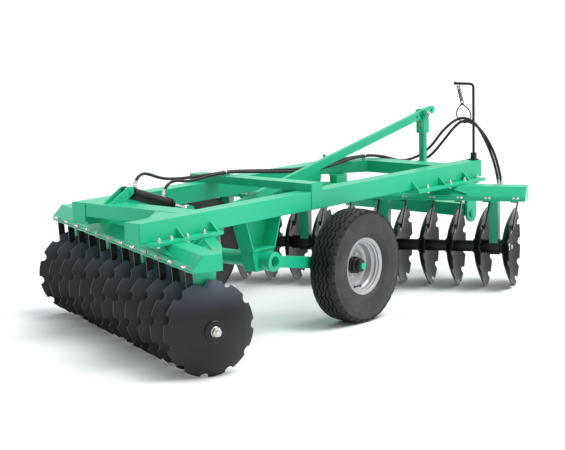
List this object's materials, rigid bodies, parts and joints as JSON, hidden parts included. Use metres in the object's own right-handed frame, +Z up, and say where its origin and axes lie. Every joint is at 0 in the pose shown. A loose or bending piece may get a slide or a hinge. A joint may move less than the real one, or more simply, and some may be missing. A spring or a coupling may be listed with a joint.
{
  "type": "trailed offset disc harrow",
  "caption": "Trailed offset disc harrow: a welded rail frame over two angled gangs of notched discs, with a rocking wheel axle, a lift cylinder and a levelling link to a mast.",
  "frame": {"origin": "middle of the machine on the floor it stands on", "axes": "+X forwards, the way it is towed, +Y to its left, +Z up"},
  "size_m": [4.593, 2.7944, 1.673],
  "materials": {
    "axle_steel": "plain steel",
    "black_paint": "black paint",
    "bright_steel": "zinc-plated steel",
    "disc_steel": "thin black coating on pressed steel",
    "green_paint": "semi-gloss paint, sun-lit and lightly scuffed",
    "rim_silver": "silver paint",
    "rod_chrome": "hard chrome",
    "spool_iron": "black painted casting",
    "tyre_rubber": "black rubber with tread"
  },
  "bodies": {
    "frame": {"axle_hangers": "green_paint", "cylinder_bracket": "green_paint", "end_caps": "green_paint", "far_rail": "green_paint", "front_bearings": "black_paint", "front_cross_tube": "green_paint", "front_gang_beam": "green_paint", "front_legs": "green_paint", "front_scrapers": "green_paint", "gang_mounts": "green_paint", "hitch_brackets": "green_paint", "hose_stand": "green_paint", "middle_beam": "green_paint", "near_cheek_plate": "green_paint", "near_rail": "green_paint", "rear_bearings": "black_paint", "rear_cross_tube": "green_paint", "rear_gang_beam": "green_paint", "rear_legs": "green_paint", "rear_scrapers": "green_paint", "shaft_bearings": "black_paint"},
    "rear_gang": {"rear_discs": "disc_steel", "rear_spools": "spool_iron", "rear_axle": "axle_steel"},
    "front_gang": {"front_discs": "disc_steel", "front_spools": "spool_iron", "front_axle": "axle_steel"},
    "rocker": {"rocker_shaft": "green_paint", "wheel_arms": "green_paint", "rocker_levers": "green_paint"},
    "right_wheel": {"right_tyre": "tyre_rubber", "right_rim": "rim_silver", "right_hub": "black_paint"},
    "left_wheel": {"left_tyre": "tyre_rubber", "left_rim": "rim_silver", "left_hub": "black_paint"},
    "cylinder_body": {"cylinder_barrel": "black_paint"},
    "cylinder_piston_rod": {"cylinder_rod": "rod_chrome"},
    "top_link": {"levelling_link": "green_paint", "link_pin": "bright_steel"},
    "hitch_frame": {"hitch_beam": "green_paint", "mast": "green_paint"}
  },
  "joints": [
    {"name": "rear_gang_spin", "type": "hinge", "parent": "frame", "child": "rear_gang", "pos_m": [-1.9918, -1.1864, 0.33], "axis": [0.4099, 0.9121, 0], "continuous": true},
    {"name": "front_gang_spin", "type": "hinge", "parent": "frame", "child": "front_gang", "pos_m": [1.8662, -1.1614, 0.33], "axis": [-0.4099, 0.9121, 0], "continuous": true},
    {"name": "axle_rocker", "type": "hinge", "parent": "frame", "child": "rocker", "pos_m": [-0.8128, -0.0904, 0.569], "axis": [0, 1, 0], "range_deg": [-10, 20]},
    {"name": "right_wheel_spin", "type": "hinge", "parent": "rocker", "child": "right_wheel", "pos_m": [-0.0048, -0.9224, 0.435], "axis": [0, 1, 0], "continuous": true},
    {"name": "left_wheel_spin", "type": "hinge", "parent": "rocker", "child": "left_wheel", "pos_m": [-0.0048, 0.7416, 0.435], "axis": [0, 1, 0], "continuous": true},
    {"name": "cylinder_swing", "type": "hinge", "parent": "frame", "child": "cylinder_body", "pos_m": [-1.3508, 0.1796, 1.084], "axis": [0, 1, 0], "range_deg": [-0.94, 1.58]},
    {"name": "cylinder_stroke", "type": "slide", "parent": "cylinder_body", "child": "cylinder_piston_rod", "axis": [0.9484, 0, -0.3171], "range_m": [-0.057, 0.112]},
    {"name": "top_link_pivot", "type": "hinge", "parent": "rocker", "child": "top_link", "pos_m": [-0.5128, -0.0404, 0.844], "axis": [0, 1, 0], "range_deg": [-22.9, 11.7]},
    {"name": "hitch_frame_pivot", "type": "hinge", "parent": "frame", "child": "hitch_frame", "pos_m": [2.1372, -0.0904, 0.564], "axis": [0, 1, 0], "range_deg": [-2.48, 4.66]}
  ],
  "couplings": [
    {"joint": "cylinder_swing", "follows": "axle_rocker", "ratio": 0.064},
    {"joint": "cylinder_stroke", "follows": "axle_rocker", "m_per_rad": 0.315},
    {"joint": "top_link_pivot", "follows": "axle_rocker", "ratio": -1.12},
    {"joint": "hitch_frame_pivot", "follows": "axle_rocker", "ratio": 0.218}
  ]
}
